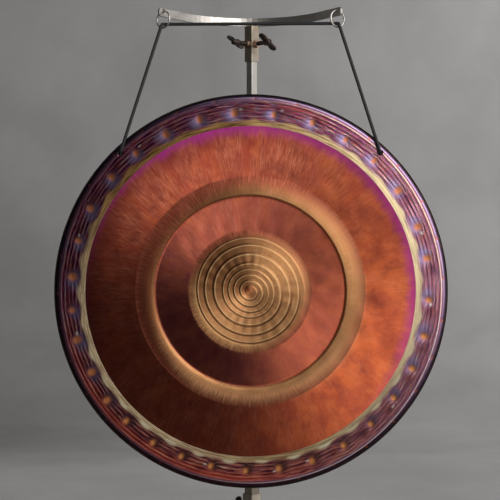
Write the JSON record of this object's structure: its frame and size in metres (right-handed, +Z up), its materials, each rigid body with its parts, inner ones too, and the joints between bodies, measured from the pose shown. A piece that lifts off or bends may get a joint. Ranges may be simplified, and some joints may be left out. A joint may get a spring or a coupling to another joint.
{
  "type": "deep gong on stand",
  "caption": "Round bronze gong with a deep rim, hung by a cord from rings on a bowed bar of a telescopic floor stand with a cross foot; struck on its raised boss or face.",
  "frame": {"origin": "on the floor under the column's axis, at the centre of the foot", "axes": "+Z up along the column; -Y is the front, which the gong's boss faces; +X is to the right as seen from the front"},
  "size_m": [0.7, 0.4874, 1.322],
  "materials": {
    "bronze": "hammered and lathe-turned, burnished, heat-tinted from gold through copper to purple",
    "polished_steel": "polished",
    "plated_steel": "satin plated square tube",
    "zinc": "plated",
    "dark_cast_metal": "dark cast, worn",
    "black_cord": "braided",
    "black_plastic": "moulded",
    "black_rubber": "matt"
  },
  "bodies": {
    "base": {"lower_column": "plated_steel", "column_plug": "black_plastic", "column_nut_left": "zinc", "column_nut_right": "zinc", "leg_front_left": "plated_steel", "leg_front_right": "plated_steel", "leg_rear_left": "plated_steel", "leg_rear_right": "plated_steel", "leg_cap_front_left": "black_plastic", "leg_cap_front_right": "black_plastic", "leg_cap_rear_left": "black_plastic", "leg_cap_rear_right": "black_plastic", "foot_front_left": "black_rubber", "foot_front_right": "black_rubber", "foot_rear_left": "black_rubber", "foot_rear_right": "black_rubber"},
    "middle": {"middle_tube": "plated_steel", "middle_nut_left": "zinc", "middle_nut_right": "zinc"},
    "pole": {"inner_pole": "polished_steel"},
    "head": {"bow_bar": "polished_steel", "head_sleeve": "plated_steel", "head_nut_left": "zinc", "head_nut_right": "zinc"},
    "gong": {"gong_disc": "bronze", "cord": "black_cord", "knot_left": "black_cord", "knot_right": "black_cord", "ring_left": "polished_steel", "ring_right": "polished_steel"},
    "head_screw_left": {"head_wing_screw_left": "dark_cast_metal"},
    "head_screw_right": {"head_wing_screw_right": "dark_cast_metal"},
    "middle_screw_left": {"middle_wing_screw_left": "dark_cast_metal"},
    "middle_screw_right": {"middle_wing_screw_right": "dark_cast_metal"},
    "column_screw_left": {"column_wing_screw_left": "dark_cast_metal"},
    "column_screw_right": {"column_wing_screw_right": "dark_cast_metal"}
  },
  "joints": [
    {"name": "column_slide", "type": "slide", "parent": "base", "child": "middle", "axis": [0, 0, 1], "range_m": [-0.17, 0.12]},
    {"name": "pole_slide", "type": "slide", "parent": "middle", "child": "pole", "axis": [0, 0, 1], "range_m": [-0.17, 0.12]},
    {"name": "head_slide", "type": "slide", "parent": "pole", "child": "head", "axis": [0, 0, 1], "range_m": [0, 0.07]},
    {"name": "gong_swing", "type": "hinge", "parent": "head", "child": "gong", "pos_m": [0, -0.1079, 1.31715], "axis": [1, 0, 0], "range_deg": [-20, 1.5]},
    {"name": "head_screw_left_turn", "type": "hinge", "parent": "head", "child": "head_screw_left", "pos_m": [0, 0, 1.2737], "axis": [-0.7071, -0.7071, 0], "continuous": true},
    {"name": "head_screw_right_turn", "type": "hinge", "parent": "head", "child": "head_screw_right", "pos_m": [0, 0, 1.2737], "axis": [0.7071, -0.7071, 0], "continuous": true},
    {"name": "middle_screw_left_turn", "type": "hinge", "parent": "middle", "child": "middle_screw_left", "pos_m": [0, 0, 0.827], "axis": [-0.7071, 0.7071, 0], "continuous": true},
    {"name": "middle_screw_right_turn", "type": "hinge", "parent": "middle", "child": "middle_screw_right", "pos_m": [0, 0, 0.827], "axis": [0.7071, 0.7071, 0], "continuous": true},
    {"name": "column_screw_left_turn", "type": "hinge", "parent": "base", "child": "column_screw_left", "pos_m": [0, 0, 0.407], "axis": [-0.7071, 0.7071, 0], "continuous": true},
    {"name": "column_screw_right_turn", "type": "hinge", "parent": "base", "child": "column_screw_right", "pos_m": [0, 0, 0.407], "axis": [0.7071, 0.7071, 0], "continuous": true}
  ]
}
